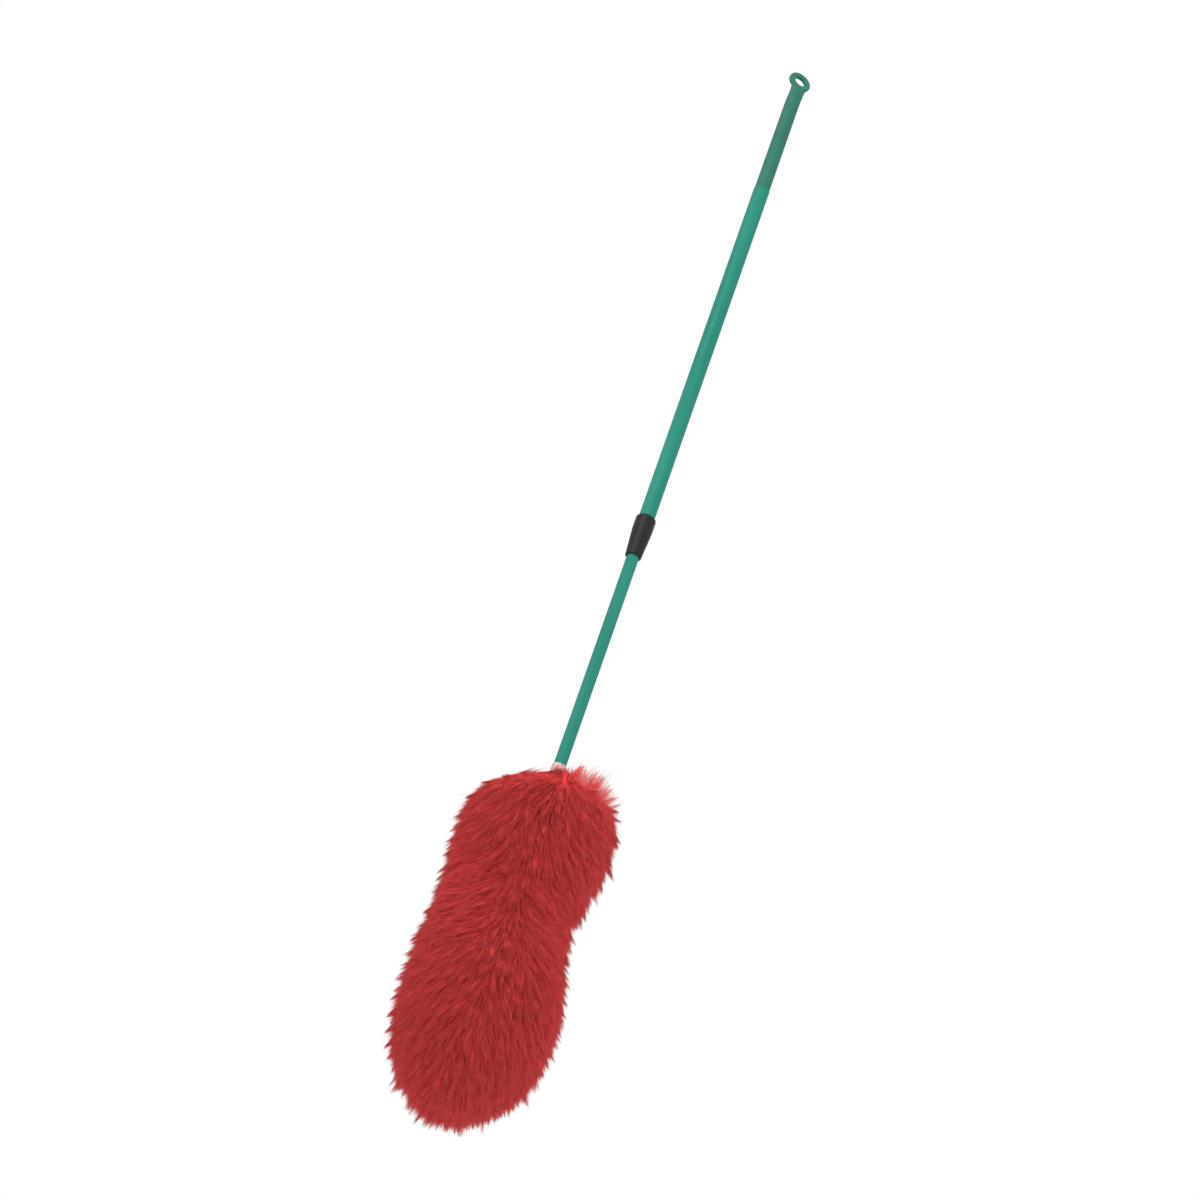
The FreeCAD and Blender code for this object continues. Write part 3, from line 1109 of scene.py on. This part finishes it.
            # Painted light: each ruffle pales the tone of its strands.
            tone += raised * ruffle.painted_light
            thickness *= 1.0 + raised * ruffle.lift * self.ruffle_coarser
        return {
            "root": root,
            "middle": middle,
            "tip": drawn,
            "tone": tone,
            "thickness": thickness,
        }

    def bend(
        self, mesh: bpy.types.Mesh, paths: dict[str, np.ndarray], template: np.ndarray
    ) -> None:
        """Bend a band of straight strands along their paths.

        Args:
            mesh: the strands, one after another, each as the template.
            paths: the band's share of the control points, thicknesses and tones.
            template: the straight strand's vertices.
        """
        root, middle, tip = (paths[k][:, None, :] for k in ("root", "middle", "tip"))
        along = template[None, :, 2:3]
        spine = root * (1 - along) ** 2 + middle * 2 * along * (1 - along) + tip * along**2
        heading = unit((middle - root) * (1 - along) + (tip - middle) * along)
        side = unit(np.cross(heading, ASKEW))
        front = np.cross(heading, side)
        radius = paths["thickness"][:, None, None]
        places = spine + radius * (side * template[None, :, 0:1] + front * template[None, :, 1:2])
        mesh.vertices.foreach_set("co", places.astype(np.float32).ravel())
        mesh.update()

    def tint(self, mesh: bpy.types.Mesh, tones: np.ndarray, loops_each: int) -> None:
        """Shift each strand across the strand map to its tone.

        Args:
            mesh: the strands.
            tones: one tone a strand.
            loops_each: how many face corners a strand has.
        """
        layer = mesh.uv_layers[STRAND_MAP]
        uv = np.zeros(len(mesh.loops) * 2, np.float32)
        layer.uv.foreach_get("vector", uv)
        uv = uv.reshape(-1, 2)
        kept = np.clip(tones, self.map_margin, 1.0 - self.map_margin)
        uv[:, 0] += np.repeat(kept, loops_each)
        layer.uv.foreach_set("vector", uv.ravel())

    def build_band(
        self,
        number: int,
        paths: dict[str, np.ndarray],
        strand: bpy.types.Mesh,
        material: bpy.types.Material,
    ) -> bpy.types.Object:
        """Make one band of the fleece.

        Args:
            number: which band, counted from the neck.
            paths: the whole fleece's paths.
            strand: the straight strand.
            material: the wool.

        Returns:
            The band.
        """
        first = number * self.strands_a_band
        share = {k: v[first : first + self.strands_a_band] for k, v in paths.items()}
        bm = bmesh.new()
        for _ in range(self.strands_a_band):
            bm.from_mesh(strand)
        piece = finish_piece(
            f"fleece_band_{number + 1}", bm, material, "wool_pile"
        )
        template = np.array([v.co for v in strand.vertices])
        self.bend(piece.data, share, template)
        self.tint(piece.data, share["tone"], len(strand.loops))
        return piece

    def build_bed(self) -> bpy.types.Object:
        """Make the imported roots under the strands.

        Returns:
            A closed, lumpy body inside the skin.
        """
        bm = self.skin.shape()
        for vert, out in zip(bm.verts, self.skin.normals, strict=True):
            lump = noise.noise(vert.co * per_metre(self.lump_mm)) * self.lump_height_mm
            vert.co = vert.co - Vector(out) * ((self.bed_depth_mm + lump) * MM)
        bmesh.ops.recalc_face_normals(bm, faces=bm.faces)
        return finish_piece(
            "fleece_bed", bm, self.bed_finish.material(), "wool_pile"
        )

    def build(self) -> None:
        """Make the bed and every band of strands over it."""
        rng = np.random.default_rng(self.seed)
        noise.seed_set(self.seed)
        self.skin.measure()
        self.build_bed()
        material = self.finish.material()
        strand = self.strand()
        paths = self.paths(rng)
        for number in range(self.bands):
            self.build_band(number, paths, strand, material)


# ---- studio --------------------------------------------------------------------------


@dataclass(frozen=True)
class SoftBox:
    """A square soft light: its place in metres, its side in metres and its power in watts."""

    name: str
    place: tuple[float, float, float]
    size: float
    power: float


@dataclass
class Studio:
    """Camera, soft lights, white surroundings and a pale floor far below."""

    azimuth: float = -20.0
    elevation: float = -30.0
    roll: float = 19.4
    distance: float = 12.0
    lens: float = 357.2
    aim: tuple[float, float, float] = (0.0, 0.0, -0.62)
    slide: tuple[float, float] = (-0.028, -0.0286)
    sensor_mm: float = 36.0
    far_clip: float = 200.0
    boxes: tuple[SoftBox, ...] = (
        SoftBox("key_box", place=(-2.4, -2.1, 1.2), size=2.0, power=74.0),
        SoftBox("fill_box", place=(2.4, -2.5, -0.6), size=2.2, power=14.0),
    )
    floor_z: float = -9.0
    floor_size: float = 60.0
    floor_colour: str = "F6F6F5"

    def camera(self) -> None:
        """Set the camera under the hanging duster, looking up at it."""
        azimuth, elevation = math.radians(self.azimuth), math.radians(self.elevation)
        back = Vector(
            (
                math.sin(azimuth) * math.cos(elevation),
                -math.cos(azimuth) * math.cos(elevation),
                math.sin(elevation),
            )
        )
        level = (-back).to_track_quat("-Z", "Y").to_matrix()
        turned = level @ Matrix.Rotation(math.radians(self.roll), 3, "Z")
        right, up = turned.col[0], turned.col[1]
        data = bpy.data.cameras.new("camera")
        data.lens = self.lens
        data.sensor_width = self.sensor_mm
        data.clip_end = self.far_clip
        camera = bpy.data.objects.new("camera", data)
        place = Vector(self.aim) + back * self.distance
        place += right * self.slide[0] + up * self.slide[1]
        camera.matrix_world = Matrix.Translation(place) @ turned.to_4x4()
        bpy.context.scene.collection.objects.link(camera)
        bpy.context.scene.camera = camera

    def lamp(self, box: SoftBox) -> None:
        """Hang a soft box that faces the duster's middle.

        Args:
            box: the light to hang.
        """
        data = bpy.data.lights.new(box.name, "AREA")
        data.size = box.size
        data.energy = box.power
        lamp = bpy.data.objects.new(box.name, data)
        lamp.location = box.place
        lamp.rotation_mode = "QUATERNION"
        lamp.rotation_quaternion = (Vector(self.aim) - lamp.location).to_track_quat("-Z", "Y")
        bpy.context.scene.collection.objects.link(lamp)

    def floor(self) -> None:
        """Lay the pale floor."""
        bm = bmesh.new()
        bmesh.ops.create_grid(bm, x_segments=1, y_segments=1, size=self.floor_size)
        bmesh.ops.translate(bm, verts=bm.verts, vec=(0, 0, self.floor_z))
        mesh = bpy.data.meshes.new("floor")
        bm.to_mesh(mesh)
        bm.free()
        values = {"Base Color": linear(self.floor_colour), "Roughness": 0.9}
        material, _ = start_material("pale_floor", values)
        mesh.materials.append(material)
        piece = bpy.data.objects.new("floor", mesh)
        bpy.context.scene.collection.objects.link(piece)

    def surroundings(self) -> None:
        """Light everything softly from an even white room."""
        world = bpy.data.worlds.new("white_room")
        world.use_nodes = True
        room = world.node_tree.nodes["Background"].inputs
        room["Color"].default_value = (1, 1, 1, 1)
        room["Strength"].default_value = 1.0
        bpy.context.scene.world = world
        bpy.context.scene.view_settings.view_transform = "Standard"

    def build(self) -> None:
        """Set up the whole studio."""
        self.camera()
        for box in self.boxes:
            self.lamp(box)
        self.floor()
        self.surroundings()


# ---- whole ---------------------------------------------------------------------------


def main() -> None:
    """Build the duster from its pole to its fleece."""
    logging.basicConfig(level=logging.INFO, format="%(message)s")
    Studio().build()
    steel = SteelFinish(
        name="cold_drawn_steel",
        colour="C3C4C5",
        shade="A4A6A8",
        roughness=0.34,
        line_mm=0.8,
        grain=Grain.ALONG_POLE,
    ).material()
    zinc = SteelFinish(
        name="zinc_plated_steel",
        colour="D2D4D6",
        shade="B3B6BA",
        roughness=0.28,
        line_mm=0.7,
        grain=Grain.ROUND_POLE,
    ).material()
    coat = Handle().build(steel)
    TwistLock().build(zinc)
    InnerPole().build(steel, coat)
    HeadCore().build(zinc)
    NeckWhipping().build()
    FleecePile(skin=FleeceSkin()).build()


if __name__ == "__main__":
    main()
